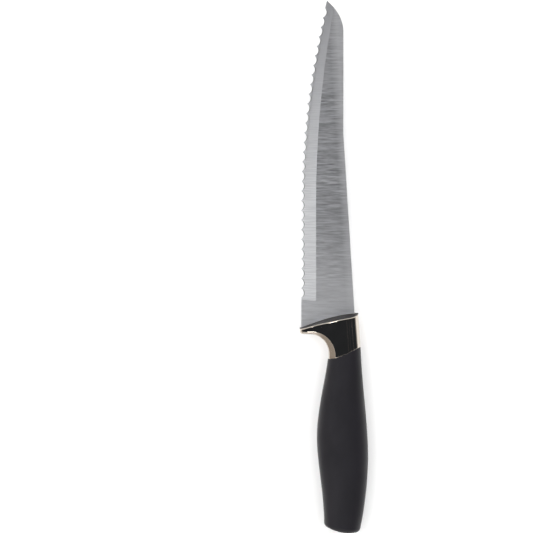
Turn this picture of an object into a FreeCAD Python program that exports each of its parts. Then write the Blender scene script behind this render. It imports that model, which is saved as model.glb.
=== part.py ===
"""Bread knife: serrated blade with a hidden tang, die-cast bolster and a soft overmoulded grip.

The knife lies on its side. It is drawn in its own layout, where the butt is at y = 0, the tip
points along +y, the spine faces +x, the teeth face -x and the blade's middle plane is z = 0.
to_frame() then moves every piece so that the origin is at the middle of the underside.
All sizes are in millimetres.
"""
import FreeCAD, Part
import math
import os

from FreeCAD import Vector

# ---- Driving dimensions ---------------------------------------------------------------------

# Lengths along the knife
grip_length = 108.0          # butt to the grip's front edge, on the finger side
bolster_length = 28.2        # from there to the bolster's front, at the spine
blade_length = 193.8         # from there to the blade's tip

# Blade
blade_spine_x = 7.0          # spine at the bolster, from the handle's axis
blade_width = 33.0           # across the blade at the heel
blade_thickness = 1.5        # ground sheet
stock_thickness = 1.7        # the same sheet where it is left unground, inside the bolster
spine_drop = 6.9             # how far the back slopes in towards the edge
spine_drop_length = 111.0    # length of the sloping back
nose_length = 20.0           # length of the curved nose
nose_angle = 47.0            # angle of the nose at the very tip, from the knife's length
nose_lead = 7.7              # how far the nose curve keeps that angle
nose_tail = 9.0              # how far it keeps straight where it meets the back
tip_rise = 15.9              # how far the tip stands in from the straight edge
edge_straight = 76.5         # straight part of the edge, from the bolster

# Grinding and teeth
plain_heel = 16.2            # unground length between the bolster and the bevel
bevel_width = 9.15           # one-sided bevel along the straight edge
bevel_width_tip = 5.2        # the same at the tip
edge_thickness = 0.35        # left under the bevel at the edge
tooth_pitch = 6.03           # along the edge
scallop_depth = 1.6
scallop_tilt = 35.0          # grinding wheel, from square to the blade
heel_land = 1.8              # bevel behind the last tooth
tip_land = 4.5               # edge in front of the first tooth

# Tang
tang_width_front = 11.0
tang_width_rear = 8.0
tang_length = 100.0          # behind the blade's base
slot_depth = 1.6             # how far the blade's base sits in the bolster
ground_gap = 0.3             # from the bolster to the start of the ground faces
slot_clearance = 0.1         # around the blade's base and the tang

# Bolster
guard_reach = 27.0           # guard tip, from the handle's axis
guard_height = 4.2           # from the blade's heel back to the guard's underside
guard_tip_radius = 1.5
guard_half_thickness = 2.0
finger_radius = 12.3         # arc for the forefinger
front_sweep = 8.6            # how far the front leans back at the guard
front_lead = (12.0, 4.6)     # direction in which the front curve leaves the guard, x and y
front_tail = (11.0, -0.7)    # direction in which it meets the spine side
front_slope = 0.4            # the front face falls away from the blade by this, per mm
bolster_taper = 1.55         # narrowing of the spine side, from the grip to the front
neck_round = 4.6             # finger-side rounding beside the grip
guard_round = 1.1            # the same at the guard

# Grip
grip_finger_reach = 16.35    # widest reach on the finger side
grip_spine_reach = 15.4      # widest reach on the spine side
grip_half_thickness = 11.0   # widest reach of each face
grip_edge_sweep = 7.6        # how much further forward the grip runs at the spine
seam_lead = 6.5              # how far the grip's front edge stays square, on the finger side
seam_tail = (5.0, 2.6)       # direction in which it meets the spine side, x and y
grip_step = 0.3              # the grip stands this proud of the bolster
grip_wall = 2.0              # soft skin over the core
butt_radius = 41.0           # curve of the end face
butt_low_x = 4.5             # where that curve is furthest back
butt_round = 3.0             # rounding of the butt's rim
section_power = 2.6          # superellipse power of the grip's section: 2 is an ellipse

# Core, spigot, rivets and potting
core_wall = 2.4              # moulded shell of the core
rib_thickness = 2.0
rib_spacing = 17.0
tang_land = 2.5              # solid bed beside the tang
core_clearance = 0.15        # around the tang and the spigot
spigot_length = 11.0         # bolster's plug in the core
spigot_side_cover = 0.75     # core left beside the spigot
spigot_face_cover = 1.9      # core left over its faces
spigot_corner = 3.0
spigot_wall = 1.3
potting_depth = 15.0         # depth of the pocket that is filled with epoxy
rivet_diameter = 4.0
rivet_clearance = 0.1
rivet_head_diameter = 7.0
rivet_head_height = 1.2
rivet_sink = 0.4             # heads below the core's surface
rivet_places = (16.0, 49.0)  # distances from the tang's rear end
peg_diameter = 4.0           # peg that lines up the two core shells
peg_height = 3.0
peg_place = 14.0             # distance from the butt

# Grip stations, from behind the butt to past its front edge: share of the grip's length, then
# how far the skin lies inside its widest reach on the finger side, the spine side and the faces
grip_stations = (
    (-0.04, 4.45, 6.40, 1.90),
    (0.11, 4.32, 3.08, 1.20),
    (0.26, 2.90, 0.98, 0.50),
    (0.42, 0.85, 0.00, 0.10),
    (0.55, 0.00, 0.35, 0.00),
    (0.72, 1.65, 1.80, 0.60),
    (0.87, 4.55, 3.30, 1.70),
    (1.00, 6.80, 4.30, 2.60),
    (1.12, 7.50, 4.80, 2.80),
)

# ---- Places that follow from them ------------------------------------------------------------

front_y = grip_length + bolster_length
tip_y = front_y + blade_length
edge_x = blade_spine_x - blade_width
back_x = blade_spine_x - spine_drop
tip_x = edge_x + tip_rise
heel_y = front_y - front_sweep
arc_start_y = heel_y + edge_straight
bevel_end_y = heel_y + plain_heel

neck_finger = grip_finger_reach - grip_stations[7][1] - grip_step
neck_spine = grip_spine_reach - grip_stations[7][2] - grip_step
neck_half = grip_half_thickness - grip_stations[7][3] - grip_step

spigot_half_width = neck_finger + grip_step - grip_wall - spigot_side_cover
spigot_half_thickness = neck_half + grip_step - grip_wall - spigot_face_cover

tang_end_y = front_y - tang_length
rivet_rows = [tang_end_y + place for place in rivet_places]
pocket_end_y = grip_length - spigot_length + potting_depth
FAR = 400.0                  # beyond every piece


# ---- Helpers ---------------------------------------------------------------------------------

def line(start, end):
    return Part.LineSegment(Vector(*start), Vector(*end)).toShape()


def arc(start, middle, end):
    return Part.Arc(Vector(*start), Vector(*middle), Vector(*end)).toShape()


def bezier(*points):
    curve = Part.BezierCurve()
    curve.setPoles([Vector(*p) for p in points])
    return curve.toShape()


def smooth_loop(points):
    curve = Part.BSplineCurve()
    curve.interpolate([Vector(*p) for p in points], PeriodicFlag=True)
    return curve.toShape()


def prism(edges, low, high):
    """Solid of a closed outline drawn at z = 0, from z = low to z = high."""
    solid = Part.Face(Part.Wire(edges)).extrude(Vector(0, 0, high - low))
    solid.translate(Vector(0, 0, low))
    return solid


def block(x_low, x_high, y_low, y_high, z_low, z_high):
    size = (x_high - x_low, y_high - y_low, z_high - z_low)
    return Part.makeBox(*size, Vector(x_low, y_low, z_low))


def post(x, y, z_low, z_high, radius):
    return Part.makeCylinder(radius, z_high - z_low, Vector(x, y, z_low))


def sweep_radius(run, rise):
    """Radius of the arc that leaves a line tangentially and is rise away from it after run."""
    return (run * run + rise * rise) / (2 * rise)


def run_on_arc(radius, run):
    """How far an arc of this radius has left its tangent after run along the tangent."""
    return radius - math.sqrt(radius * radius - run * run)


# ---- Curves that two pieces share ------------------------------------------------------------

def front_curve(shift):
    """Bolster's front in the blade's plane, moved along the knife, from guard to spine side."""
    left, right = (edge_x, heel_y + shift, 0), (neck_spine, front_y + shift, 0)
    return bezier(left, (edge_x + front_lead[0], left[1] + front_lead[1], 0),
                  (neck_spine - front_tail[0], right[1] - front_tail[1], 0), right)


def front_region(shift, low, high):
    """Everything behind the front curve."""
    left, right = (edge_x, heel_y + shift, 0), (neck_spine, front_y + shift, 0)
    slope = front_lead[1] / front_lead[0]
    outer = (-FAR, heel_y + shift - slope * (FAR + edge_x), 0)
    edges = [line(outer, left), front_curve(shift), line(right, (FAR, right[1], 0)),
             line((FAR, right[1], 0), (FAR, -FAR, 0)), line((FAR, -FAR, 0), (-FAR, -FAR, 0)),
             line((-FAR, -FAR, 0), outer)]
    return prism(edges, low, high)


def rear_region(shift, low, high):
    """Everything behind the S-shaped seam between the bolster and the grip."""
    left = (-neck_finger, grip_length + shift, 0)
    right = (neck_spine, grip_length + grip_edge_sweep + shift, 0)
    before = (right[0] - seam_tail[0], right[1] - seam_tail[1], 0)
    curve = bezier(left, (left[0] + seam_lead, left[1], 0), before, right)
    slope = seam_tail[1] / seam_tail[0]
    outer = (FAR, right[1] + slope * (FAR - right[0]), 0)
    edges = [line((-FAR, left[1], 0), left), curve, line(right, outer),
             line(outer, (FAR, -FAR, 0)), line((FAR, -FAR, 0), (-FAR, -FAR, 0)),
             line((-FAR, -FAR, 0), (-FAR, left[1], 0))]
    return prism(edges, low, high)


# ---- Grip and core bodies --------------------------------------------------------------------

def grip_section(y, finger, spine, half, inset):
    centre = (spine - finger) / 2
    across = (spine + finger) / 2 - inset
    deep = half - inset
    count = 16
    points = []
    for step in range(count):
        turn = 2 * math.pi * step / count
        c, s = math.cos(turn), math.sin(turn)
        x = centre + across * math.copysign(abs(c) ** (2 / section_power), c)
        z = deep * math.copysign(abs(s) ** (2 / section_power), s)
        points.append((x, y, z))
    return Part.Wire([smooth_loop(points)])


def handle_body(inset):
    """Smooth body through the grip's stations, every skin moved in by inset."""
    wires = []
    for share, finger_drop, spine_drop_in, half_drop in grip_stations:
        wires.append(grip_section(share * grip_length, grip_finger_reach - finger_drop,
                                  grip_spine_reach - spine_drop_in,
                                  grip_half_thickness - half_drop, inset))
    return Part.makeLoft(wires, True, False)


def butt_region(inset):
    """Everything in front of the curved end face, moved in by inset."""
    centre = (butt_low_x, butt_radius, -FAR)
    return Part.makeCylinder(butt_radius - inset, 2 * FAR, Vector(*centre))


def trim_handle(body, inset):
    """Cut the body at the butt's curve and at the seam with the bolster."""
    front = block(-FAR, FAR, butt_radius, FAR, -FAR, FAR)
    keep = butt_region(inset).fuse(front)
    return body.common(keep).common(rear_region(0, -FAR, FAR)).Solids[0]


def grip_outer():
    """Grip's outer shape with its butt rounded."""
    body = trim_handle(handle_body(0), 0)
    rim = [edge for edge in body.Edges
           if edge.BoundBox.YMax < grip_length / 4 and edge.Length > grip_half_thickness]
    return body.makeFillet(butt_round, rim)


def core_outer():
    return trim_handle(handle_body(grip_wall), grip_wall)


# ---- Blade and tang --------------------------------------------------------------------------

def blade_outline():
    """Edge side, nose and back of the blade, open at the heel."""
    radius = sweep_radius(tip_y - arc_start_y, tip_rise)
    half_run = (tip_y - arc_start_y) / 2
    middle = (edge_x + run_on_arc(radius, half_run), arc_start_y + half_run, 0)
    turn = math.radians(nose_angle)
    tip = (tip_x, tip_y, 0)
    into_tip = (tip_x + nose_lead * math.sin(turn), tip_y - nose_lead * math.cos(turn), 0)
    nose_start = (back_x, tip_y - nose_length, 0)
    off_back = (back_x, nose_start[1] + nose_tail, 0)
    knee = (back_x, front_y + spine_drop_length, 0)
    return [
        line((edge_x, arc_start_y, 0), (edge_x, 0, 0)),
        arc((edge_x, arc_start_y, 0), middle, tip),
        bezier(tip, into_tip, off_back, nose_start),
        line(nose_start, knee),
        line(knee, (blade_spine_x, front_y, 0)),
        line((blade_spine_x, front_y, 0), (blade_spine_x, 0, 0)),
        line((blade_spine_x, 0, 0), (edge_x, 0, 0)),
    ]


def bevel_outline(inner):
    """Outline outside the bevel's line; inner is 0 at the edge and 1 at the bevel's top."""
    offset = bevel_width * inner
    offset_tip = bevel_width_tip * inner
    start = (edge_x + offset, arc_start_y)
    end = (tip_x + offset_tip, tip_y)
    radius = sweep_radius(end[1] - start[1], end[0] - start[0])
    half_run = (end[1] - start[1]) / 2
    middle = (start[0] + run_on_arc(radius, half_run), start[1] + half_run)
    beyond = tip_y + bevel_width
    slope = (end[1] - start[1]) / (radius - (end[0] - start[0]))
    past = (end[0] + slope * bevel_width, beyond)
    return start, middle, end, past


def bevel_wire(inner, z):
    start, middle, end, past = bevel_outline(inner)
    outside = edge_x - 4 * bevel_width
    corners = [(outside, past[1]), (outside, bevel_end_y), (start[0], bevel_end_y)]
    a, b, c, d = [(x, y, z) for x, y in (start, middle, end, past)]
    e, f, g = [(x, y, z) for x, y in corners]
    return Part.Wire([arc(a, b, c), line(c, d), line(d, e), line(e, f), line(f, g), line(g, a)])


def bevel_cutter():
    """Ruled solid whose slanted side is the one-sided bevel."""
    top, edge = blade_thickness / 2, edge_thickness - blade_thickness / 2
    over = 0.5
    rise = (top + over - edge) / (top - edge)
    fall = -(edge + blade_thickness / 2 + over) / (top - edge)
    low = bevel_wire(fall, -blade_thickness / 2 - over)
    high = bevel_wire(rise, top + over)
    return Part.makeLoft([low, high], True, True)


def edge_point(distance):
    """Point on the edge at a distance along it from the bevel's end, and its turn from +y."""
    straight = arc_start_y - bevel_end_y
    if distance <= straight:
        return edge_x, bevel_end_y + distance, 0.0
    radius = sweep_radius(tip_y - arc_start_y, tip_rise)
    turn = (distance - straight) / radius
    return (edge_x + radius * (1 - math.cos(turn)), arc_start_y + radius * math.sin(turn), turn)


def edge_run():
    """Length of the edge from the bevel's end to the tip."""
    radius = sweep_radius(tip_y - arc_start_y, tip_rise)
    return arc_start_y - bevel_end_y + radius * math.asin((tip_y - arc_start_y) / radius)


def scallop_cutters():
    """Tilted grinding-wheel cylinders, one for each scallop between two teeth."""
    radius = (tooth_pitch ** 2 / 4 + scallop_depth ** 2) / (2 * scallop_depth)
    count = int((edge_run() - heel_land - tip_land) / tooth_pitch)
    lean = math.tan(math.radians(scallop_tilt))
    height = 4 * blade_thickness
    cutters = []
    for number in range(count):
        x, y, turn = edge_point(heel_land + (number + 0.5) * tooth_pitch)
        back = Vector(-math.cos(turn), math.sin(turn), 0)
        centre = Vector(x, y, -blade_thickness / 2) + back * (radius - scallop_depth)
        ring = Part.makeCircle(radius, centre - Vector(0, 0, height) + back * (height * lean))
        sweep = Vector(0, 0, 2 * height) - back * (2 * height * lean)
        cutters.append(Part.Face(Part.Wire([ring])).extrude(sweep))
    return cutters


def tang_outline(extra):
    """Outline of the tapering tang with a rounded end, grown by extra."""
    front, rear = tang_width_front / 2 + extra, tang_width_rear / 2 + extra
    end = tang_end_y + tang_width_rear / 2
    base = heel_y - slot_depth
    return [line((front, base, 0), (-front, base, 0)),
            line((-front, base, 0), (-rear, end, 0)),
            arc((-rear, end, 0), (0, end - rear, 0), (rear, end, 0)),
            line((rear, end, 0), (front, base, 0))]


def blade_base(extra):
    """Unground sheet at the blade's base that sits in the bolster's slot."""
    half = stock_thickness / 2 + extra
    sheet = block(edge_x - extra, blade_spine_x + extra, 0, FAR, -half, half)
    ahead = front_region(ground_gap, -half, half)
    behind = front_region(-slot_depth - extra, -half, half)
    return sheet.common(ahead).cut(behind)


def tang_bar(extra):
    half = stock_thickness / 2 + extra
    bar = prism(tang_outline(extra), -half, half)
    link = block(-tang_width_front / 2 - extra, tang_width_front / 2 + extra,
                 heel_y - slot_depth - 1, front_y, -half, half)
    return bar.fuse(link.common(front_region(0, -half, half)))


def make_blade():
    sheet = prism(blade_outline(), -blade_thickness / 2, blade_thickness / 2)
    sheet = sheet.cut(front_region(ground_gap, -FAR / 4, FAR / 4))
    sheet = sheet.cut(bevel_cutter())
    for cutter in scallop_cutters():
        sheet = sheet.cut(cutter)
    blade = sheet.fuse(blade_base(0)).fuse(tang_bar(0))
    for y in rivet_rows:
        blade = blade.cut(post(0, y, -FAR / 4, FAR / 4, rivet_diameter / 2 + rivet_clearance))
    return blade.removeSplitter()


# ---- Bolster ---------------------------------------------------------------------------------

def guard_under_y():
    return heel_y - guard_height


def guard_plan():
    """Plan outline of the finger side, open well beyond the front and the spine."""
    under = guard_under_y()
    arc_x = -neck_finger - finger_radius
    arc_y = under - finger_radius
    half = math.sqrt(0.5)
    tip_y_low = under + guard_tip_radius
    tip_x_low = -guard_reach + guard_tip_radius
    low = grip_length - 1.0
    return [
        line((-neck_finger, low, 0), (-neck_finger, arc_y, 0)),
        arc((-neck_finger, arc_y, 0),
            (arc_x + finger_radius * half, arc_y + finger_radius * half, 0), (arc_x, under, 0)),
        line((arc_x, under, 0), (tip_x_low, under, 0)),
        arc((tip_x_low, under, 0),
            (tip_x_low - guard_tip_radius * half, tip_y_low - guard_tip_radius * half, 0),
            (-guard_reach, tip_y_low, 0)),
        line((-guard_reach, tip_y_low, 0), (-guard_reach, tip_y, 0)),
        line((-guard_reach, tip_y, 0), (FAR, tip_y, 0)),
        line((FAR, tip_y, 0), (FAR, low, 0)),
        line((FAR, low, 0), (-neck_finger, low, 0)),
    ]


def bolster_section():
    """Teardrop section: full round at the spine, thinning to the guard."""
    centre = 0.5
    across = neck_spine - centre
    nose = guard_reach + 0.5
    upper = [(-nose, 0.0), (-nose + 0.5, guard_half_thickness * 0.8),
             (-nose + 3.0, guard_half_thickness + 1.4)]
    flank = nose - 3.0
    for share, depth in ((0.68, 0.72), (0.34, 0.935)):
        upper.append((-flank * share, neck_half * depth))
    for step in range(6):
        turn = math.pi / 2 * step / 5
        upper.append((centre + across * math.sin(turn) ** (2 / section_power),
                      neck_half * math.cos(turn) ** (2 / section_power)))
    lower = [(x, -z) for x, z in reversed(upper[1:-1])]
    return [(x, 0, z) for x, z in upper + lower]


def finger_side_radii(edge):
    """Rounding at the two ends of an edge of the finger side's wall, or None elsewhere."""
    box = edge.BoundBox
    if math.hypot(box.XLength, box.YLength) < 0.1:
        return None
    place = edge.valueAt((edge.FirstParameter + edge.LastParameter) / 2)
    under = guard_under_y()
    finger = Vector(-neck_finger - finger_radius, under - finger_radius, place.z)
    tip = Vector(guard_tip_radius - guard_reach, under + guard_tip_radius, place.z)
    if abs(place.x + neck_finger) < 0.01:
        return neck_round, neck_round
    if abs(place.distanceToPoint(finger) - finger_radius) < 0.01:
        at_neck = abs(edge.firstVertex(True).Point.x + neck_finger) < 0.01
        return (neck_round, guard_round) if at_neck else (guard_round, neck_round)
    if abs(place.distanceToPoint(tip) - guard_tip_radius) < 0.01:
        return guard_round, guard_round
    if abs(place.y - under) < 0.01 or abs(place.x + guard_reach) < 0.01:
        return guard_round, guard_round
    return None


def round_finger_side(solid):
    """Round the finger side, wide beside the grip and narrow at the guard."""
    edges = []
    for number, edge in enumerate(solid.Edges, 1):
        radii = finger_side_radii(edge)
        if radii:
            edges.append((number,) + radii)
    document = FreeCAD.newDocument("rounding")
    base = document.addObject("Part::Feature", "Base")
    base.Shape = solid
    feature = document.addObject("Part::Fillet", "Rounding")
    feature.Base = base
    feature.Edges = edges
    document.recompute()
    rounded = feature.Shape.Solids[0]
    FreeCAD.closeDocument(document.Name)
    return rounded


def plug(half_width, half_thickness, corner, y_low, y_high):
    """Bar along the knife with rounded corners."""
    bar = block(-half_width, half_width, y_low, y_high, -half_thickness, half_thickness)
    long_edges = [edge for edge in bar.Edges if edge.BoundBox.YLength > (y_high - y_low) / 2]
    return bar.makeFillet(corner, long_edges)


def spigot(extra):
    """Plug behind the bolster that sits in the core."""
    return plug(spigot_half_width + extra, spigot_half_thickness + extra, spigot_corner + extra,
                grip_length - spigot_length - extra, grip_length + grip_edge_sweep)


def potting_pocket():
    return plug(spigot_half_width - spigot_wall, spigot_half_thickness - spigot_wall,
                spigot_corner - spigot_wall, grip_length - spigot_length, pocket_end_y)


def make_bolster():
    plan = prism(guard_plan(), -FAR / 4, FAR / 4)
    taper = bolster_taper / (bolster_length - grip_edge_sweep)
    section = Part.Face(Part.Wire([smooth_loop(bolster_section())]))
    overrun = 8.0
    start = grip_length - overrun
    section.translate(Vector(taper * (grip_length + grip_edge_sweep - start), start, 0))
    run = front_y + overrun - start
    body = section.extrude(Vector(-taper * run, run, 0))
    reach = 3 * neck_half
    front = front_region(0, 0, 0.001).Faces
    face = [f for f in front if abs(f.CenterOfMass.z) < 1e-6 and abs(f.normalAt(0, 0).z) > 0.9][0]
    wedge = face.extrude(Vector(0, -front_slope * reach, reach))
    wedge = wedge.fuse(face.extrude(Vector(0, -front_slope * reach, -reach)))
    solid = plan.common(body).common(wedge).cut(rear_region(0, -FAR / 4, FAR / 4)).Solids[0]
    solid = round_finger_side(solid)
    solid = solid.fuse(spigot(0).common(rear_region(0.0, -FAR / 4, FAR / 4)))
    solid = solid.cut(blade_base(slot_clearance)).cut(tang_bar(slot_clearance))
    return solid.cut(potting_pocket()).removeSplitter()


def make_tang_epoxy():
    return potting_pocket().cut(tang_bar(0))


# ---- Core, rivets and grip -------------------------------------------------------------------

def core_lands():
    """Tang bed, ribs, rivet bosses and peg boss inside the core's shell."""
    bed = block(-tang_width_front / 2 - tang_land, tang_width_front / 2 + tang_land,
                tang_end_y - tang_land, grip_length + grip_edge_sweep, -FAR, FAR)
    slab = stock_thickness / 2 + tang_land
    lands = bed.common(block(-FAR, FAR, 0, FAR, -slab, slab))
    collar = spigot(tang_land)
    lands = lands.fuse(collar)
    count = int((grip_length - spigot_length) / rib_spacing)
    for number in range(1, count + 1):
        y = number * rib_spacing
        lands = lands.fuse(block(-FAR, FAR, y - rib_thickness / 2, y + rib_thickness / 2, -FAR, FAR))
    for y in rivet_rows:
        lands = lands.fuse(post(0, y, -FAR, FAR, rivet_head_diameter / 2 + core_wall))
    return lands.fuse(post(0, peg_place, -FAR, FAR, peg_diameter / 2 + core_wall))


def core_half_at(y):
    """Half thickness of the core at a place along it, between its two nearest stations."""
    share = y / grip_length
    for low, high in zip(grip_stations, grip_stations[1:]):
        if low[0] <= share <= high[0]:
            blend = (share - low[0]) / (high[0] - low[0])
            drop = low[3] + blend * (high[3] - low[3])
            return grip_half_thickness - drop - grip_wall
    return grip_half_thickness - grip_wall


def core_solid():
    """Both core shells as one body, with every socket and hole cut."""
    outer = core_outer()
    hollow = trim_handle(handle_body(grip_wall + core_wall), grip_wall + core_wall)
    hollow = hollow.cut(rear_region(0, -FAR, FAR).cut(rear_region(-core_wall, -FAR, FAR)))
    solid = outer.cut(hollow.cut(core_lands()))
    solid = solid.cut(spigot(core_clearance)).cut(tang_bar(core_clearance))
    for y in rivet_rows:
        solid = solid.cut(post(0, y, -FAR, FAR, rivet_diameter / 2 + rivet_clearance))
        seat = core_half_at(y) - rivet_sink - rivet_head_height
        for low, high in ((seat, FAR), (-FAR, -seat)):
            solid = solid.cut(post(0, y, low, high, rivet_head_diameter / 2 + rivet_clearance))
    return solid


def peg(extra):
    return post(0, peg_place, -peg_height - extra, 0, peg_diameter / 2 + extra)


def make_core_halves():
    solid = core_solid()
    left = solid.common(block(-FAR, FAR, -FAR, FAR, 0, FAR)).fuse(peg(0))
    right = solid.common(block(-FAR, FAR, -FAR, FAR, -FAR, 0)).cut(peg(core_clearance))
    return left.removeSplitter(), right


def make_core_rivets():
    rivets = []
    for y in rivet_rows:
        top = core_half_at(y) - rivet_sink
        seat = top - rivet_head_height
        rivet = post(0, y, -seat, seat, rivet_diameter / 2)
        rivet = rivet.fuse(post(0, y, seat, top, rivet_head_diameter / 2))
        rivets.append(rivet.fuse(post(0, y, -top, -seat, rivet_head_diameter / 2)))
    return Part.makeCompound(rivets)


def make_grip():
    return grip_outer().cut(core_outer())


# ---- Assembly --------------------------------------------------------------------------------

def to_frame(shape):
    """Move a piece so that the origin is at the middle of the knife's underside."""
    moved = shape.copy()
    moved.translate(Vector((guard_reach - grip_spine_reach) / 2, -tip_y / 2, grip_half_thickness))
    return moved


def main():
    os.makedirs("parts", exist_ok=True)
    core_left, core_right = make_core_halves()
    pieces = {
        "blade": make_blade(),
        "bolster": make_bolster(),
        "tang_epoxy": make_tang_epoxy(),
        "core_left": core_left,
        "core_right": core_right,
        "core_rivets": make_core_rivets(),
        "grip": make_grip(),
    }
    for name, shape in pieces.items():
        shape = to_frame(shape)
        shape.exportStep(f"parts/{name}.step")
        box = shape.BoundBox
        print(f"{name:12s} solids {len(shape.Solids)} valid {shape.isValid()} "
              f"volume {shape.Volume:9.1f}  x {box.XMin:7.2f} {box.XMax:7.2f} "
              f"y {box.YMin:8.2f} {box.YMax:8.2f} z {box.ZMin:6.2f} {box.ZMax:6.2f}")


main()
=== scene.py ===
# %% [markdown]
# # A bread knife, lying on its side
# The CAD model gives the frame and the boxes, and the sizes written here repeat its values. This lesson
# dresses it: the grip and the bolster get a finer mesh, every piece gets the finish of what it is made of,
# and a small studio lights them. Everything is in metres, in the CAD frame: +Y runs to the tip, +X to the
# spine, +Z is up.

# %% Load the frame
import bpy
import bmesh
import math
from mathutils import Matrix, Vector


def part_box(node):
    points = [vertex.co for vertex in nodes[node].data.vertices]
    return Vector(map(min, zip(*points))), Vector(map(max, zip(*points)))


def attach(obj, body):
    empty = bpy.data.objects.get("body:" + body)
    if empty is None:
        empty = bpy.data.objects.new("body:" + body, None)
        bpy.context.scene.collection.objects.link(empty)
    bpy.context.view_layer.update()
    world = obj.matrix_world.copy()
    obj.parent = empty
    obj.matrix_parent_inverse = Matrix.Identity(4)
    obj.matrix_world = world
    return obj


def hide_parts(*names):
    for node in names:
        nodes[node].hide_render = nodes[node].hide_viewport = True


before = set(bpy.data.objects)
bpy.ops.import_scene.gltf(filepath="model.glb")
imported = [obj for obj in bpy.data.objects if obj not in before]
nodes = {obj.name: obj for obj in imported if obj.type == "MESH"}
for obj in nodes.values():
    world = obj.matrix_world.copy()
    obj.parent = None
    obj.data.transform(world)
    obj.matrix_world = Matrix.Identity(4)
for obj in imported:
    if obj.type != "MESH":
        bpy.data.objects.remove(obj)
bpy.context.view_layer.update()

print("nodes:", ", ".join(sorted(nodes)))

# %% [markdown]
# A maker measures a knife from its butt and from the handle's own axis, in millimetres. The rivets stand on
# that axis, the grip ends at the butt and the blade lies in the middle plane, so their boxes say where the
# maker's zero is. One function then turns the maker's millimetres into the frame's metres.

# %% From the maker's millimetres to the frame
MM = 0.001


def middle(node, axis):
    low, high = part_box(node)
    return (low[axis] + high[axis]) / 2


axis_x = middle("core_rivets", 0)
butt_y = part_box("grip")[0].y
plane_z = middle("blade", 2)


def at(x, y, z):
    return Vector((axis_x + x * MM, butt_y + y * MM, plane_z + z * MM))


def from_butt(node, corner, axis):
    """Where a corner of a node's box lies, in the maker's millimetres."""
    zero = (axis_x, butt_y, plane_z)[axis]
    return (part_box(node)[corner][axis] - zero) / MM


print("handle axis at x = %.2f mm, blade plane at z = %.2f mm" % (axis_x / MM, plane_z / MM))

# %% [markdown]
# ## Colours and nodes
# A colour is written as the sRGB hex value that a designer would read off a swatch. Blender's shaders
# want linear light, so one function converts it. A second small function adds a shader node, sets its
# values and links its inputs, so that each material reads as a list of steps. Two more put materials on a
# piece and turn finished mesh data into one.

# %% Colour and node helpers
def linear(hex_value):
    channels = [int(hex_value[i:i + 2], 16) / 255 for i in (0, 2, 4)]
    return tuple(c / 12.92 if c <= 0.04045 else ((c + 0.055) / 1.055) ** 2.4 for c in channels) + (1.0,)


def add(tree, kind, links=(), **settings):
    """Add a node; links are (input, output socket) pairs, settings are properties or input values."""
    node = tree.nodes.new("ShaderNode" + kind)
    for name, value in settings.items():
        if hasattr(node, name):
            setattr(node, name, value)
        else:
            node.inputs[name.replace("_", " ")].default_value = value
    for name, source in links:
        tree.links.new(source, node.inputs[name])
    return node


def new_material(name):
    material = bpy.data.materials.new(name)
    material.use_nodes = True
    tree = material.node_tree
    shader = tree.nodes["Principled BSDF"]
    return material, tree, shader


def finish(piece, *materials):
    """Replace a piece's materials; a second one covers the faces that were given index 1."""
    if piece.data.materials:
        piece.data.materials.clear()
    for material in materials:
        piece.data.materials.append(material)
    print(piece.name, "is", " and ".join(material.name for material in materials))


def piece_from(build, name):
    """Turn finished mesh data into a smooth piece of the scene."""
    bmesh.ops.recalc_face_normals(build, faces=build.faces)
    for face in build.faces:
        face.smooth = True
    mesh = bpy.data.meshes.new(name)
    build.to_mesh(mesh)
    build.free()
    piece = bpy.data.objects.new(name, mesh)
    bpy.context.scene.collection.objects.link(piece)
    return piece


print("middle grey 808080 is %.3f in linear light" % linear("808080")[0])

# %% [markdown]
# ## Camera
# The knife is looked at from straight above with a long lens, the way a catalogue shows it, so that its
# sides stay parallel. The picture is as wide as the knife is long, and the knife stands in its right half.

# %% Camera
camera_height = 1.9
sensor_width = 36  # mm
view_width = 330.6 * MM
view_centre = Vector((-41.8 * MM, 0, 0))

camera_data = bpy.data.cameras.new("camera")
camera_data.sensor_width = sensor_width
camera_data.lens = sensor_width * (camera_height - plane_z) / view_width
camera_data.clip_end = 20
camera = bpy.data.objects.new("camera", camera_data)
camera.location = view_centre + Vector((0, 0, camera_height))
bpy.context.scene.collection.objects.link(camera)
bpy.context.scene.camera = camera
print("lens %.0f mm" % camera_data.lens)

# %% [markdown]
# ## Studio
# Mirror plating shows nothing but the room, so the room is designed first. A black card hangs overhead and
# reaches down to the horizon on the spine's side. It turns the flat side of the bolster nearly black. Beyond
# the finger side stands a warm grey wall, and beyond the tip and the butt white ones. Two small softboxes
# hang where the bevel sees them and the bolster's flat side doesn't. The card would be black velvet on a
# frame, with three narrow gaps that draw faint streaks along the plating. Drawn in the world's own colour
# it throws no stray shadow.

# %% Room
room_dark = "2B2E32"
room_wall = "F2F0EC"
room_warm_wall = "A8A098"
room_slit = "A8A19A"
card_reach = {"X": (0.80, 1.0), "Y": (0.74, 0.80)}
slits = ((0.20, 0.25), (0.37, 0.20), (0.66, 0.70))  # direction across the knife, strength
slit_width = 0.006

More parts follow.
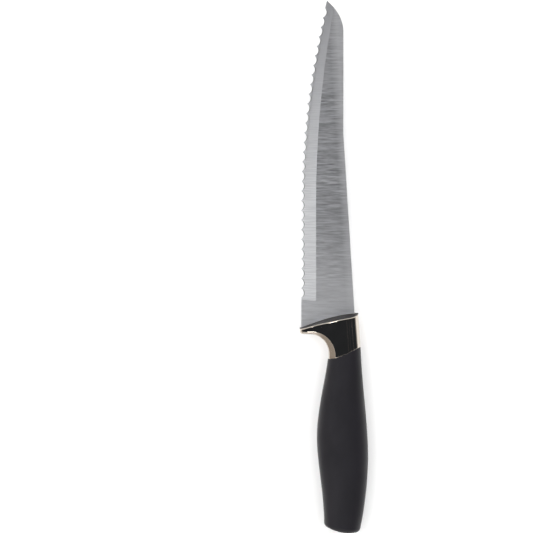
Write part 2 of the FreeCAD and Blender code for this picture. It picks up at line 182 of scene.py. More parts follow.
world = bpy.data.worlds.new("studio room")
bpy.context.scene.world = world
world.use_nodes = True
room = world.node_tree
room.nodes.clear()
direction = add(room, "TexCoord").outputs["Generated"]
split = add(room, "SeparateXYZ", [("Vector", direction)])
parts = {}
for axis, (behind, ahead) in card_reach.items():
    low = add(room, "Math", [(0, split.outputs[axis])], operation="MULTIPLY")
    low.inputs[1].default_value = -1 / behind
    high = add(room, "Math", [(0, split.outputs[axis])], operation="MULTIPLY")
    high.inputs[1].default_value = 1 / ahead
    parts[axis] = add(room, "Math", [(0, low.outputs[0]), (1, high.outputs[0])], operation="MAXIMUM")
outward_parts = add(room, "CombineXYZ", [(axis, node.outputs[0]) for axis, node in parts.items()])
outward = add(room, "VectorMath", [(0, outward_parts.outputs[0])], operation="LENGTH")
beyond = add(room, "MapRange", [("Value", outward.outputs["Value"])], From_Min=0.96, From_Max=1.04)
sideways = add(room, "MapRange", [("Value", split.outputs["X"])], From_Min=-0.65, From_Max=-0.25)
below_cornice = add(room, "MapRange", [("Value", outward.outputs["Value"])], From_Min=1.08, From_Max=1.16)
warm = add(room, "Mix", [("Factor", below_cornice.outputs[0])], data_type="RGBA")
warm.inputs["A"].default_value = linear(room_wall)
warm.inputs["B"].default_value = linear(room_warm_wall)
walls = add(room, "Mix", [("Factor", sideways.outputs[0]), ("A", warm.outputs["Result"])], data_type="RGBA")
walls.inputs["B"].default_value = linear(room_wall)
around = add(room, "Mix", [("Factor", beyond.outputs[0]), ("B", walls.outputs["Result"])], data_type="RGBA")
dark = None
for place, strength in slits:
    slit = add(room, "Math", [(0, split.outputs["X"])], operation="COMPARE")
    slit.inputs[1].default_value = place
    slit.inputs[2].default_value = slit_width
    faint = add(room, "Math", [(0, slit.outputs[0])], operation="MULTIPLY")
    faint.inputs[1].default_value = strength
    seen = add(room, "Mix", [("Factor", faint.outputs[0])], data_type="RGBA")
    if dark:
        room.links.new(dark, seen.inputs["A"])
    else:
        seen.inputs["A"].default_value = linear(room_dark)
    seen.inputs["B"].default_value = linear(room_slit)
    dark = seen.outputs["Result"]
room.links.new(dark, around.inputs["A"])
light = add(room, "Background", [("Color", around.outputs["Result"])], Strength=1.0)
add(room, "OutputWorld", [("Surface", light.outputs[0])])
bpy.context.scene.view_settings.view_transform = "Standard"
print("room has %d nodes, %d of them light slits" % (len(room.nodes), len(slits)))

# %% [markdown]
# ## Lamps
# Large softboxes overhead and on both sides light the paper evenly. The plating must not show them, so they
# are hidden from mirrors. The two small ones are meant to be mirrored, in the bevel. They throw no shadow,
# which a real lamp would: it keeps the white paper clean beside the handle.

# %% Softboxes
def softbox(name, place, size, radiance, mirrored):
    data = bpy.data.lights.new(name, "AREA")
    data.shape = "RECTANGLE"
    data.size, data.size_y = size
    data.energy = radiance * math.pi * size[0] * size[1]
    lamp = bpy.data.objects.new(name, data)
    lamp.location = place
    lamp.rotation_euler = (-Vector(place)).to_track_quat("-Z", "Y").to_euler()
    lamp.visible_glossy = mirrored
    data.use_shadow = not mirrored
    bpy.context.scene.collection.objects.link(lamp)


softbox("ceiling softbox", (0.0, 0.0, 2.3), (2.6, 2.6), 2.0, False)
softbox("left softbox", (-1.1, 0.0, 0.9), (0.9, 1.6), 1.4, False)
softbox("right softbox", (1.1, 0.0, 0.9), (0.9, 1.6), 1.4, False)
for name, along in (("bevel softbox, tip", 0.75), ("bevel softbox, butt", -0.75)):
    softbox(name, (-0.40, along, 1.25), (0.36, 0.36), 9.5, True)

# %% [markdown]
# ## Paper
# The knife lies on a wide sheet of matt white paper, which runs out of sight on every side.

# %% Floor
floor_mesh = bpy.data.meshes.new("floor")
reach = 3.0
floor_mesh.from_pydata([(-reach, -reach, 0), (reach, -reach, 0), (reach, reach, 0), (-reach, reach, 0)],
                       [], [(0, 1, 2, 3)])
floor = bpy.data.objects.new("floor", floor_mesh)
floor.location.z = -0.0005
bpy.context.scene.collection.objects.link(floor)

paper, tree, shader = new_material("matt white paper sweep")
shader.inputs["Base Color"].default_value = linear("F5F5F5")
shader.inputs["Roughness"].default_value = 0.9
floor.data.materials.append(paper)
print("paper reaches %.0f m each way" % reach)

# %% [markdown]
# ## Grip: soft-touch rubber moulded over the core
# The grip swells in the middle of the hand and narrows to the neck. The CAD solid is right in size; the
# mesh here follows the same stations, and adds what moulding leaves: a rounded lip where the rubber meets
# the metal, a softly rounded butt, and the faint seam of the mould along both narrow sides. It could be a
# subdivision cage, but rows of points from the section's own formula keep every station at its true size.

# %% Grip sizes
grip_length = 108.0
grip_edge_sweep = 7.6
grip_step = 0.3
seam_lead, seam_tail = 6.5, (5.0, 2.6)
butt_radius, butt_low_x, butt_round = 41.0, 4.5, 3.0
finger_reach = 16.35
spine_reach = 15.4
half_thickness = 11.0
section_power = 2.6
stations = (
    (-0.04, 4.45, 6.40, 1.90),
    (0.11, 4.32, 3.08, 1.20),
    (0.26, 2.90, 0.98, 0.50),
    (0.42, 0.85, 0.00, 0.10),
    (0.55, 0.00, 0.35, 0.00),
    (0.72, 1.65, 1.80, 0.60),
    (0.87, 4.55, 3.30, 1.70),
    (1.00, 6.80, 4.30, 2.60),
    (1.12, 7.50, 4.80, 2.80),
)
neck_finger = finger_reach - stations[7][1] - grip_step
neck_spine = spine_reach - stations[7][2] - grip_step
neck_half = half_thickness - stations[7][3] - grip_step


def natural_spline(knots, values):
    """Second slopes of the smooth curve through some stations."""
    count = len(knots)
    slopes, work = [0.0] * count, [0.0] * count
    for i in range(1, count - 1):
        left, right = knots[i] - knots[i - 1], knots[i + 1] - knots[i]
        share = left / (left + right)
        p = share * slopes[i - 1] + 2
        slopes[i] = (share - 1) / p
        bend = (values[i + 1] - values[i]) / right - (values[i] - values[i - 1]) / left
        work[i] = (6 * bend / (left + right) - share * work[i - 1]) / p
    for i in range(count - 2, -1, -1):
        slopes[i] = slopes[i] * slopes[i + 1] + work[i]
    return slopes


knots = [row[0] * grip_length for row in stations]
columns = [[limit - row[i] for row in stations]
           for i, limit in ((1, finger_reach), (2, spine_reach), (3, half_thickness))]
bends = [natural_spline(knots, column) for column in columns]


def reaches(y):
    """Finger reach, spine reach and half thickness of the grip at a place along it."""
    i = max(k for k in range(len(knots) - 1) if knots[k] <= y or k == 0)
    gap = knots[i + 1] - knots[i]
    b = (y - knots[i]) / gap
    a = 1 - b
    return [a * c[i] + b * c[i + 1] + ((a ** 3 - a) * s[i] + (b ** 3 - b) * s[i + 1]) * gap * gap / 6
            for c, s in zip(columns, bends)]


print("widest:", ", ".join("%.1f" % r for r in reaches(0.55 * grip_length)), "mm")


# %% [markdown]
# The rubber's front edge is an S across the handle, and its butt a wide arc. Both are curves of the place
# across, so that the metal beside the seam can follow the very same curve.

# %% Curves of the seam and of the butt
def seam_y(x):
    """The S-shaped edge of the grip, at a place across it."""
    left, right = -neck_finger, neck_spine
    if x <= left:
        return grip_length
    if x >= right:
        return grip_length + grip_edge_sweep + (x - right) * seam_tail[1] / seam_tail[0]
    low, high = 0.0, 1.0
    for _ in range(30):
        t = (low + high) / 2
        bezier_x = ((1 - t) ** 3 * left + 3 * t * (1 - t) ** 2 * (left + seam_lead)
                    + 3 * t * t * (1 - t) * (right - seam_tail[0]) + t ** 3 * right)
        low, high = (t, high) if bezier_x < x else (low, t)
    return (grip_length * ((1 - t) ** 3 + 3 * t * (1 - t) ** 2)
            + (grip_length + grip_edge_sweep - seam_tail[1]) * 3 * t * t * (1 - t)
            + (grip_length + grip_edge_sweep) * t ** 3)


def butt_y_at(x):
    return butt_radius - math.sqrt(butt_radius ** 2 - (x - butt_low_x) ** 2)


def section_point(y, turn, inset=0.0):
    finger, spine, half = reaches(y)
    c, s = math.cos(turn), math.sin(turn)
    x = (spine - finger) / 2 + ((spine + finger) / 2 - inset) * math.copysign(
        abs(c) ** (2 / section_power), c)
    z = (half - inset) * math.copysign(abs(s) ** (2 / section_power), s)
    return x, z


print("seam runs from %.1f to %.1f mm" % (seam_y(-neck_finger), seam_y(neck_spine)))

# %% [markdown]
# Lines run along the grip at 160 turns round its section. Each is followed from the mouth to the butt: a lip
# turned into the mouth, the rounded edge of the lip, the long swelling, the rounding of the butt, and
# shrinking rings that close it.

# %% Rings of the grip
lip = 0.45
mouth_depths = (1.6, 0.9, lip)
line_count, ring_count = 160, 150
lip_steps, butt_steps, cap_steps = 6, 12, 14
meeting_passes = 12


def turns(count):
    """Turns round the section, closest together where the superellipse bends most slowly."""
    out = []
    for i in range(count):
        t = 2 * math.pi * i / count
        out.append(t - 0.12 * math.sin(4 * t))
    return out


def meeting(turn, start, curve):
    """How far along the knife the line at this turn meets a curve across the grip."""
    y = start
    for _ in range(meeting_passes):
        y = curve(section_point(y, turn)[0])
    return y


def side_rings(around, seam_at, butt_at):
    """Rings from inside the mouth, over the lip and along the grip to the start of the butt's rounding."""
    rings = []
    for depth in mouth_depths:
        rings.append([(section_point(y, turn, depth), y) for turn, y in zip(around, seam_at)])
    for step in range(1, lip_steps + 1):
        bow = math.pi / 2 * step / lip_steps
        rings.append([(section_point(y, turn, lip * (1 - math.sin(bow))), y - lip * (1 - math.cos(bow)))
                      for turn, y in zip(around, seam_at)])
    for step in range(1, ring_count + 1):
        share = step / ring_count
        ring = []
        for turn, top, bottom in zip(around, seam_at, butt_at):
            y = (top - lip) + (bottom - top + lip) * share
            ring.append((section_point(y, turn), y))
        rings.append(ring)
    return rings


def butt_rings(around, butt_at):
    """Rings of the butt's rounding and of its end, and the middle of that end."""
    rings = []
    for step in range(1, butt_steps + 1):
        bow = math.pi / 2 * step / butt_steps
        ring = []
        for turn, bottom in zip(around, butt_at):
            y = bottom - butt_round * math.sin(bow)
            ring.append((section_point(bottom, turn, butt_round * (1 - math.cos(bow))), y))
        rings.append(ring)
    rim = rings[-1]
    centre_x = sum(p[0][0] for p in rim) / len(rim)
    for step in range(1, cap_steps):
        shrink = 1 - step / cap_steps
        ring = []
        for (x, z), y in rim:
            nx = centre_x + (x - centre_x) * shrink
            ring.append(((nx, z * shrink), y + butt_y_at(nx) - butt_y_at(x)))
        rings.append(ring)
    return rings, centre_x


print("grip has", line_count, "lines of", ring_count, "steps along its side")


# %% [markdown]
# The rings become rows of four-sided faces. The mouth is closed by one flat face, which nobody sees.

# %% Grip mesh
def make_grip():
    around = turns(line_count)
    seam_at = [meeting(turn, grip_length, seam_y) for turn in around]
    butt_at = [meeting(turn, 2.0, butt_y_at) + butt_round for turn in around]
    end_rings, centre_x = butt_rings(around, butt_at)
    rings = side_rings(around, seam_at, butt_at) + end_rings
    build = bmesh.new()
    rows = [[build.verts.new(at(x, y, z)) for (x, z), y in ring] for ring in rings]
    for one, two in zip(rows, rows[1:]):
        for i in range(len(one)):
            j = (i + 1) % len(one)
            build.faces.new((one[i], one[j], two[j], two[i]))
    hub = build.verts.new(at(centre_x, butt_y_at(centre_x), 0))
    last = rows[-1]
    for i in range(len(last)):
        build.faces.new((last[i], last[(i + 1) % len(last)], hub))
    build.faces.new(rows[0])
    return piece_from(build, "grip_moulding")


grip = make_grip()
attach(grip, "root")
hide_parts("grip")
print("grip mesh:", len(grip.data.polygons), "faces")


# %% [markdown]
# ## Bolster: die-cast zinc, polished and plated
# The bolster carries the guard for the forefinger. Its section is a teardrop, full at the spine and thin at
# the guard, and its front face slopes back from the blade. The finger side is rounded, widely beside the
# grip and tightly at the guard. Mirror plating shows every wrinkle, so the mesh is laid in rows that follow
# the casting's own edges. A boolean of plain solids would leave long thin faces that a mirror gives away.
# Near its tip the guard is drawn thicker than in the CAD solid.

# %% Bolster sizes
bolster_length = 28.2
bolster_taper = 1.55
front_sweep = 8.6
front_slope = 0.4
front_lead, front_tail = (12.0, 4.6), (11.0, -0.7)
guard_reach = -from_butt("bolster", 0, 0)
guard_height = 4.2
guard_tip_radius = 1.5
finger_radius = 12.3
neck_round, guard_round = 4.6, 1.1
rim_round = 0.7
facet_slope, facet_bow = 0.75, 0.04
edge_x = from_butt("blade", 0, 0)

front_y = grip_length + bolster_length
heel_y = front_y - front_sweep
under_y = heel_y - guard_height
arc_x, arc_y = -neck_finger - finger_radius, under_y - finger_radius
tip_x, tip_y = guard_tip_radius - guard_reach, under_y + guard_tip_radius
taper = bolster_taper / (bolster_length - grip_edge_sweep)
print("guard reaches %.1f mm from the handle's axis" % guard_reach)


# %% [markdown]
# Five small functions say where the casting's surfaces run: the front's curve, the thickness across, the
# distance in from the finger side, the facet along it, and the outline of the finger side.

# %% Front, section and finger wall of the bolster
crown_x = 0.5  # where the section is thickest
passes = 30    # halvings that find a place on a curve


def bezier(t, a, b, c, d):
    s = 1 - t
    return s ** 3 * a + 3 * s * s * t * b + 3 * s * t * t * c + t ** 3 * d


def front_at(x):
    """How far along the knife the bolster's front runs, in the blade's plane."""
    if x <= edge_x:
        return heel_y + (x - edge_x) * front_lead[1] / front_lead[0]
    low, high = 0.0, 1.0
    for _ in range(passes):
        t = (low + high) / 2
        here = bezier(t, edge_x, edge_x + front_lead[0], neck_spine - front_tail[0], neck_spine)
        low, high = (t, high) if here < x else (low, t)
    return bezier(t, heel_y, heel_y + front_lead[1], front_y - front_tail[1], front_y)


flank_x = (-guard_reach - 0.2, -guard_reach + 2.5, -16.66, -8.33, crown_x, 9.33)
flank_z = (2.8, 4.2, 0.72 * neck_half, 0.935 * neck_half, neck_half, 0.935 * neck_half)
flank_bend = natural_spline(flank_x, flank_z)


def spline_at(x, xs, values, slopes):
    i = max(k for k in range(len(xs) - 1) if xs[k] <= x or k == 0)
    gap = xs[i + 1] - xs[i]
    b = (x - xs[i]) / gap
    a = 1 - b
    bend = ((a ** 3 - a) * slopes[i] + (b ** 3 - b) * slopes[i + 1]) * gap * gap / 6
    return a * values[i] + b * values[i + 1] + bend


def wall_distance(x, y):
    """How far a place lies in from the finger side, and how wide the rounding is there."""
    if y <= arc_y:
        return x + neck_finger, neck_round
    if x >= arc_x:
        swing = math.atan2(y - arc_y, x - arc_x) / (math.pi / 2)
        return math.hypot(x - arc_x, y - arc_y) - finger_radius, neck_round + (
            guard_round - neck_round) * min(1, swing)
    if x >= tip_x:
        return y - under_y, guard_round
    if y <= tip_y:
        return guard_tip_radius - math.hypot(x - tip_x, y - tip_y), guard_round
    return x + guard_reach, guard_round


def finger_drop(u):
    """Depth of the finger side's facet: 0 at its ridge, where u is 1, and 1 at the wall."""
    ridge, foot = 0.84, 0.1
    if u > ridge:
        return facet_slope * (1 - u) ** 2 / (2 * (1 - ridge))
    down = ridge - max(u, foot)
    drop = facet_slope * ((1 - ridge) / 2 + down) + facet_bow * down ** 2
    return drop + (1 - drop) * max(0.0, 1 - u / foot)


def bolster_height(x, y):
    """Half thickness of the casting, with its finger side rounded."""
    across = x + taper * (y - grip_length - grip_edge_sweep)
    if across > crown_x:
        share = min(1.0, (across - crown_x) / (neck_spine - crown_x))
        z = neck_half * (1 - share ** section_power) ** (1 / section_power)
    else:
        z = spline_at(across, flank_x, flank_z, flank_bend)
    inside, rounding = wall_distance(x, y)
    if inside < rounding:
        z -= rounding * finger_drop(max(0.0, inside) / rounding)
    return max(z, 0.0)


def finger_wall(share):
    """Point on the finger side's outline: 0 beside the grip, 1 at the guard's front."""
    lengths = [arc_y - grip_length, finger_radius * math.pi / 2, arc_x - tip_x,
               guard_tip_radius * math.pi / 2, rim_y(-guard_reach) - rim_round - tip_y]
    run = share * sum(lengths)
    if run <= lengths[0]:
        return -neck_finger, grip_length + run
    run -= lengths[0]
    if run <= lengths[1]:
        swing = run / finger_radius
        return arc_x + finger_radius * math.cos(swing), arc_y + finger_radius * math.sin(swing)
    run -= lengths[1]
    if run <= lengths[2]:
        return arc_x - run, under_y
    run -= lengths[2]
    if run <= lengths[3]:
        swing = run / guard_tip_radius
        return tip_x - guard_tip_radius * math.sin(swing), tip_y - guard_tip_radius * math.cos(swing)
    return -guard_reach, tip_y + run - lengths[3]


def rim_y(x):
    """Where the sloping front face meets the side, at a place across."""
    y = front_at(x)
    for _ in range(60):
        y += 0.5 * (front_at(x) - front_slope * bolster_height(x, y) - y)
    return y


spine_front_y = front_at(neck_spine - bolster_taper)


def spine_x(y):
    return neck_spine - taper * (y - grip_length - grip_edge_sweep)


print("rim meets the guard's tip at %.1f mm and the spine at %.1f mm" % (rim_y(-guard_reach), spine_front_y))

# %% [markdown]
# One side of the casting is a grid. Its rows run from the seam to the rim and its columns from the finger
# side to the spine, so that both follow the casting's own edges. The rim between side and front is rounded
# by a short curve of its own, which gives the thin bright line along it.

# %% Grid of the bolster's side
rows_up, columns_across, steps_round, steps_front = 100, 100, 6, 6
tuck_depth, tuck_share = 1.2, 0.8  # how far the casting runs into the grip, and how it narrows there
deepest_fall = 0.8                 # most of the front's height that the rim's rounding may use


def bolster_grid():
    corner_x = spine_x(spine_front_y)
    first, last = finger_wall(0), finger_wall(1)
    seam_end = (neck_spine, grip_length + grip_edge_sweep)
    top_end = (corner_x, spine_front_y - rim_round)
    grid = []
    for i in range(rows_up + 1):
        u = i / rows_up
        left = finger_wall(u)
        right_y = seam_end[1] + (top_end[1] - seam_end[1]) * u
        right = (spine_x(right_y), right_y)
        row = []
        for k in range(columns_across + 1):
            v = (1 - math.cos(math.pi * k / columns_across)) / 2
            seam_x = first[0] + (seam_end[0] - first[0]) * v
            seam = (seam_x, seam_y(seam_x))
            rim_x = last[0] + (top_end[0] - last[0]) * v
            rim = (rim_x, rim_y(rim_x) - rim_round if 0 < k < columns_across else (last, top_end)[k > 0][1])
            point = []
            for axis in (0, 1):
                sides = (1 - v) * left[axis] + v * right[axis]
                ends = (1 - u) * seam[axis] + u * rim[axis]
                corners = ((1 - u) * ((1 - v) * first[axis] + v * seam_end[axis])
                           + u * ((1 - v) * last[axis] + v * top_end[axis]))
                point.append(sides + ends - corners)
            x, y = point
            z = 0.0 if k == columns_across else bolster_height(x, y)
            row.append((x, y, z))
        grid.append(row)
    return grid


def rim_curves(grid):
    """Start, corner and end of the rounding at each column, as pairs along the knife and up."""
    rounding = []
    for x, y, z in grid[-1]:
        corner_y = y + rim_round
        corner_z = (front_at(x) - corner_y) / front_slope
        fall = min(rim_round / math.hypot(1, front_slope), deepest_fall * corner_z)
        rounding.append(((y, z), (corner_y, corner_z), (corner_y + front_slope * fall, corner_z - fall)))
    return rounding


print("bolster grid of", rows_up, "by", columns_across)


# %% [markdown]
# The same grid serves both sides. Each gets the rim's rounding, the sloping front, a wall along the finger
# side and a cap inside the grip. Faces of the front carry index 1, for their own finish with its painted
# shade.

# %% Bolster mesh
def front_rows(build, rim, grid, rounding, side):
    """Rows of vertices over the rim's rounding and down the front to the blade."""
    front = [rim]
    for step in range(1, steps_round + 1):
        t = step / steps_round
        line = []
        for (x, _, _), (start, corner, end) in zip(grid[-1], rounding):
            y, z = [(1 - t) ** 2 * a + 2 * t * (1 - t) * b + t * t * c
                    for a, b, c in zip(start, corner, end)]
            line.append(build.verts.new(at(x, y, side * z)))
        front.append(line)
    for step in range(1, steps_front + 1):
        share = step / steps_front
        line = []
        for (x, _, _), (_, _, (y, z)) in zip(grid[-1], rounding):
            line.append(build.verts.new(at(x, y + (front_at(x) - y) * share, side * z * (1 - share))))
        front.append(line)
    return front


def close_wall(build, rows, front, feet):
    """The finger side's wall, the nose of the guard and the cap inside the grip."""
    wall = [row[0] for row in rows]
    foot = [build.verts.new(at(x, y, 0)) for x, y, _ in feet]
    mid = [build.verts.new(wall[i].co.lerp(foot[i].co, 0.5)) for i in range(len(wall))]
    for one, two in ((wall, mid), (mid, foot)):
        for i in range(len(wall) - 1):
            build.faces.new((one[i], one[i + 1], two[i + 1], two[i]))
    nose = [line[0] for line in front]
    build.faces.new((nose[0], nose[1], mid[-1]))
    for i in range(1, len(nose) - 1):
        build.faces.new((nose[i], nose[i + 1], foot[-1]))
    build.faces.new((nose[1], foot[-1], mid[-1]))
    hub = build.verts.new(at(0, grip_length + 3, 0))
    edge = [foot[0], mid[0]] + rows[0]
    for a, b in zip(edge, edge[1:]):
        build.faces.new((a, b, hub))


def make_bolster():
    grid = bolster_grid()
    tuck = [(x, y - tuck_depth, z * tuck_share) for x, y, z in grid[0]]
    rounding = rim_curves(grid)
    build = bmesh.new()
    for side in (1, -1):
        rows = [[build.verts.new(at(x, y, side * z)) for x, y, z in row] for row in [tuck] + grid]
        for one, two in zip(rows, rows[1:]):
            for k in range(columns_across):
                build.faces.new((one[k], one[k + 1], two[k + 1], two[k]))
        front = front_rows(build, rows[-1], grid, rounding, side)
        for number, (one, two) in enumerate(zip(front, front[1:])):
            for k in range(columns_across):
                face = build.faces.new((one[k], one[k + 1], two[k + 1], two[k]))
                face.material_index = int(number >= steps_round)
        close_wall(build, rows, front, [tuck[0]] + [row[0] for row in grid])
    bmesh.ops.remove_doubles(build, verts=build.verts, dist=2e-6)
    return piece_from(build, "bolster_casting")


bolster = make_bolster()
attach(bolster, "root")
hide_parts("bolster")
print("bolster mesh:", len(bolster.data.polygons), "faces")


# %% [markdown]
# ## Blade: stainless sheet, ground across and serrated
# A belt that runs across the blade grinds its flat faces. The scratches all point the same way, so the
# steel spreads light along the knife and stays sharp across it. The bevel is ground again, on one side and
# with a coarser wheel, so it scatters more light. Both finishes sit in one material, and the slope of the
# face tells the flat, the bevel and the scallops apart. A painted mask would have to be redrawn for each
# size of knife. The steeper scallops are painted a darker grey, a painted shade. The flat is painted
# brighter within 60 mm of the heel and along the spine: painted highlights, for the light it shows there.
# The real
# scratches are 0.02 mm wide: here they are 0.3 mm, or they would fade to nothing.


# %% Blade material
def per_mm(length):
    """Texture scale for features that are this many millimetres long."""
    return 1 / (length * MM)


def grain(tree, place, length_x, length_y, length_z, detail=3.0):
    """Noise whose features have these lengths in millimetres."""
    stretched = add(tree, "Mapping", [("Vector", place)])
    stretched.inputs["Scale"].default_value = [per_mm(length) for length in (length_x, length_y, length_z)]
    return add(tree, "TexNoise", [("Vector", stretched.outputs[0])], Scale=1.0, Detail=detail).outputs["Fac"]


def spread(tree, value, low, high):
    """Turn noise, which mostly lies between 0.3 and 0.7, into a range of values."""
    return add(tree, "MapRange", [("Value", value)], From_Min=0.3, From_Max=0.7, To_Min=low,
               To_Max=high).outputs[0]


def blend(tree, factor, low, high):
    """Mix two colours by a factor's socket; each colour is a hex value or an output socket."""
    node = add(tree, "Mix", [("Factor", factor)], data_type="RGBA")
    for name, value in (("A", low), ("B", high)):
        if isinstance(value, str):
            node.inputs[name].default_value = linear(value)
        else:
            tree.links.new(value, node.inputs[name])
    return node.outputs["Result"]


def relief(tree, shader, heights):
    """Stack bumps; each is an output socket and its full height in millimetres."""
    normal = None
    for value, depth in heights:
        links = [("Height", value)] + ([("Normal", normal)] if normal else [])
        normal = add(tree, "Bump", links, Strength=1.0, Distance=depth * MM).outputs[0]
    tree.links.new(normal, shader.inputs["Normal"])


steel, tree, shader = new_material("stainless steel, ground across")
shader.inputs["Metallic"].default_value = 1.0
place = add(tree, "TexCoord").outputs["Object"]
slope = add(tree, "SeparateXYZ", [("Vector", add(tree, "NewGeometry").outputs["True Normal"])])
level = add(tree, "Math", [(0, slope.outputs["Z"])], operation="ABSOLUTE").outputs[0]
flat = add(tree, "MapRange", [("Value", level)], From_Min=0.9945, From_Max=0.998).outputs[0]
scallop_painted_shade = add(tree, "MapRange", [("Value", level)], From_Min=0.97, From_Max=0.90).outputs[0]
streaks = grain(tree, place, 8.0, 0.8, 8.0)
scratches = grain(tree, place, 14.0, 0.3, 14.0, 2.0)
clouds = grain(tree, place, 30.0, 24.0, 30.0)

bevel = blend(tree, spread(tree, scratches, 0.0, 1.0), "DCDDE0", "FCFDFF")
face = blend(tree, spread(tree, streaks, 0.0, 1.0), "929398", "E9EAEE")
face = blend(tree, spread(tree, clouds, 0.0, 0.5), face, "C4C5C9")
along = add(tree, "SeparateXYZ", [("Vector", place)]).outputs["Y"]
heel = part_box("bolster")[1].y
# Painted highlight: the flat is painted lighter within 60 mm of the heel.
heel_painted_glow = add(tree, "MapRange", [("Value", along)], From_Min=heel + 60 * MM, From_Max=heel,
                interpolation_type="SMOOTHSTEP").outputs[0]
heel_glow_share = add(tree, "Math", [(0, heel_painted_glow)], operation="MULTIPLY")
heel_glow_share.inputs[1].default_value = 0.65
face = blend(tree, heel_glow_share.outputs[0], face, "FAFBFE")
near_tip = add(tree, "MapRange", [("Value", along)], From_Min=heel + 70 * MM,
               From_Max=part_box("blade")[1].y).outputs[0]
bevel = blend(tree, near_tip, bevel, "B4B5B9")

spine_drop, spine_run = 6.9, 111.0  # how the spine leans, in mm
beside = add(tree, "SeparateXYZ", [("Vector", place)]).outputs["X"]
leaned = add(tree, "Math", [(0, along), (2, beside)], operation="MULTIPLY_ADD")
leaned.inputs[1].default_value = spine_drop / spine_run
spine_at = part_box("blade")[1].x + heel * spine_drop / spine_run
# Painted highlight: a band up to 5 mm in from the spine is painted lighter.
spine_painted_glow = add(tree, "MapRange", [("Value", leaned.outputs[0])], From_Min=spine_at - 5 * MM,
                 From_Max=spine_at, To_Min=0.0, To_Max=0.6).outputs[0]
face = blend(tree, spine_painted_glow, face, "FAFBFE")
shade = blend(tree, flat, bevel, face)
# Painted shade: the steeper scallop facets are painted a darker grey.
shade = blend(tree, scallop_painted_shade, shade, "9A9A9C")
tree.links.new(shade, shader.inputs["Base Color"])
rough = add(tree, "Mix", [("Factor", flat), ("A", spread(tree, scratches, 0.62, 0.72)),
                          ("B", spread(tree, streaks, 0.46, 0.62))])
tree.links.new(rough.outputs[0], shader.inputs["Roughness"])
relief(tree, shader, [(scratches, 0.004), (streaks, 0.006)])
shader.inputs["Anisotropic"].default_value = 0.8
shader.inputs["Anisotropic Rotation"].default_value = 0.25
across = add(tree, "Tangent", direction_type="RADIAL", axis="Y")
tree.links.new(across.outputs[0], shader.inputs["Tangent"])
finish(bpy.data.objects["blade"], steel)

# %% [markdown]
# ## Bolster finish: nickel plate over polished zinc
# Buffing leaves long shallow waves along the casting, far too low to feel. A mirror shows them as faint
# streaks. The plate is slightly warm beside the steel. The buffing wheel can't reach into the corner beside
# the blade, so the front face keeps the duller skin that blasting left. Its colour is painted dark as well:
# a painted shade, for the darkness the front face shows from above.

# %% Bolster material
plate, tree, shader = new_material("nickel plate on buffed zinc")
shader.inputs["Metallic"].default_value = 1.0
place = add(tree, "TexCoord").outputs["Object"]
buffing = grain(tree, place, 1.6, 34.0, 6.0, 2.0)
haze = grain(tree, place, 5.0, 9.0, 5.0)
tint = blend(tree, spread(tree, haze, 0.0, 1.0), "D0C7BC", "D9D0C6")
tree.links.new(tint, shader.inputs["Base Color"])
tree.links.new(spread(tree, haze, 0.05, 0.10), shader.inputs["Roughness"])
relief(tree, shader, [(buffing, 0.0025)])

blasted_skin_painted_dark, tree, shader = new_material("nickel plate on blasted zinc, painted dark")
shader.inputs["Metallic"].default_value = 1.0
place = add(tree, "TexCoord").outputs["Object"]
blasted = grain(tree, place, 0.5, 0.5, 0.5)
# Painted shade: the front face's nickel is painted near black, far darker than the plate beside it.
tree.links.new(blend(tree, spread(tree, blasted, 0.0, 1.0), "3A3836", "4A4744"), shader.inputs["Base Color"])
tree.links.new(spread(tree, blasted, 0.30, 0.42), shader.inputs["Roughness"])
relief(tree, shader, [(blasted, 0.008)])
finish(bolster, plate, blasted_skin_painted_dark)

# %% [markdown]
# ## Grip finish: soft-touch rubber
# The mould is spark-eroded, so the rubber comes out with a fine matt grain. The hand polishes its swelling
# a little, and dust keeps a pale bloom on the rest. The two halves of the mould leave a hair line along
# both narrow sides. The true grain is 0.1 mm: it is drawn at 0.45 mm so that it still shows.

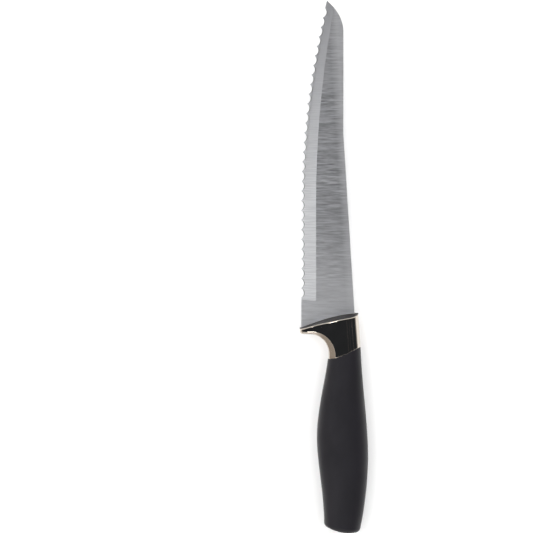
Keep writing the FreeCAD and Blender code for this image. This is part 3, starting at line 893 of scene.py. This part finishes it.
# %% Grip material
rubber, tree, shader = new_material("soft-touch rubber, spark-eroded mould")
place = add(tree, "TexCoord").outputs["Object"]
pores = grain(tree, place, 0.45, 0.45, 0.45, 2.0)
handling = grain(tree, place, 11.0, 22.0, 11.0)
depth = add(tree, "SeparateXYZ", [("Vector", place)]).outputs["Z"]
off_plane = add(tree, "Math", [(0, depth)], operation="SUBTRACT")
off_plane.inputs[1].default_value = plane_z
off_seam = add(tree, "Math", [(0, off_plane.outputs[0])], operation="ABSOLUTE")
seam_line = add(tree, "MapRange", [("Value", off_seam.outputs[0])], From_Min=0.1 * MM, From_Max=0.35 * MM,
                To_Min=1.0, To_Max=0.0).outputs[0]
bloom = blend(tree, spread(tree, handling, 0.0, 1.0), "0F0D14", "15131A")
speckled = blend(tree, spread(tree, pores, 0.0, 0.35), bloom, "0E0D10")
tree.links.new(blend(tree, seam_line, speckled, "201F23"), shader.inputs["Base Color"])
tree.links.new(spread(tree, handling, 0.66, 0.56), shader.inputs["Roughness"])
shader.inputs["Sheen Weight"].default_value = 0.1
shader.inputs["Sheen Roughness"].default_value = 0.45
relief(tree, shader, [(pores, 0.01), (seam_line, 0.04)])
finish(grip, rubber)

# %% [markdown]
# ## Inner pieces
# Nothing of the core, the rivets or the potting shows on a finished knife. Each still gets the finish that
# it has on the bench, because the part may be cut open or exploded for a drawing.

# %% Core, rivets and potting
plastic, tree, shader = new_material("glass-filled polypropylene, as moulded")
place = add(tree, "TexCoord").outputs["Object"]
flow = grain(tree, place, 2.5, 12.0, 2.5)
tree.links.new(blend(tree, spread(tree, flow, 0.0, 1.0), "1B1B1E", "2A2A2D"), shader.inputs["Base Color"])
tree.links.new(spread(tree, flow, 0.42, 0.60), shader.inputs["Roughness"])
relief(tree, shader, [(flow, 0.02)])
for node in ("core_left", "core_right"):
    finish(bpy.data.objects[node], plastic)

alloy, tree, shader = new_material("aluminium rod, turned")
shader.inputs["Metallic"].default_value = 1.0
place = add(tree, "TexCoord").outputs["Object"]
lathe = grain(tree, place, 6.0, 6.0, 0.25, 2.0)
tree.links.new(blend(tree, spread(tree, lathe, 0.0, 1.0), "DCDDE0", "DDDEE0"), shader.inputs["Base Color"])
tree.links.new(spread(tree, lathe, 0.22, 0.38), shader.inputs["Roughness"])
relief(tree, shader, [(lathe, 0.008)])
finish(bpy.data.objects["core_rivets"], alloy)

resin, tree, shader = new_material("epoxy potting, cured")
place = add(tree, "TexCoord").outputs["Object"]
bubbles = add(tree, "TexVoronoi", [("Vector", place)], Scale=per_mm(1.4)).outputs["Distance"]
tide = grain(tree, place, 5.0, 5.0, 5.0)
tree.links.new(blend(tree, spread(tree, tide, 0.0, 1.0), "9C7A3C", "B9944E"), shader.inputs["Base Color"])
tree.links.new(spread(tree, tide, 0.18, 0.32), shader.inputs["Roughness"])
relief(tree, shader, [(bubbles, 0.05)])
finish(bpy.data.objects["tang_epoxy"], resin)
